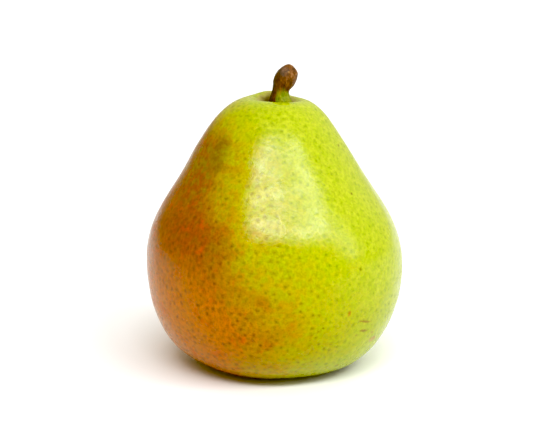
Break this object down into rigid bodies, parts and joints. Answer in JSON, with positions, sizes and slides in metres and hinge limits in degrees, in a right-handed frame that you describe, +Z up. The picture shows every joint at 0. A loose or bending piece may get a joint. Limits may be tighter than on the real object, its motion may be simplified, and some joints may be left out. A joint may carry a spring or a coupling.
{
  "type": "pear",
  "caption": "Short, broad-bellied ripe pear with its woody stem and dried calyx, standing on the low lobes of its blossom end.",
  "frame": {"origin": "on the surface that the pear stands on, under the middle of its belly", "axes": "+Z up from the blossom end towards the stem; +X the way the stem's knob leans; -Y the front, with the red blush on its left and the green side on its right"},
  "size_m": [0.0774, 0.0786, 0.091],
  "materials": {
    "skin": "satin",
    "bark": "matte",
    "dried_sepal": "matte"
  },
  "bodies": {
    "root": {"fruit": "skin", "stem": "bark", "calyx": "dried_sepal"}
  },
  "joints": []
}
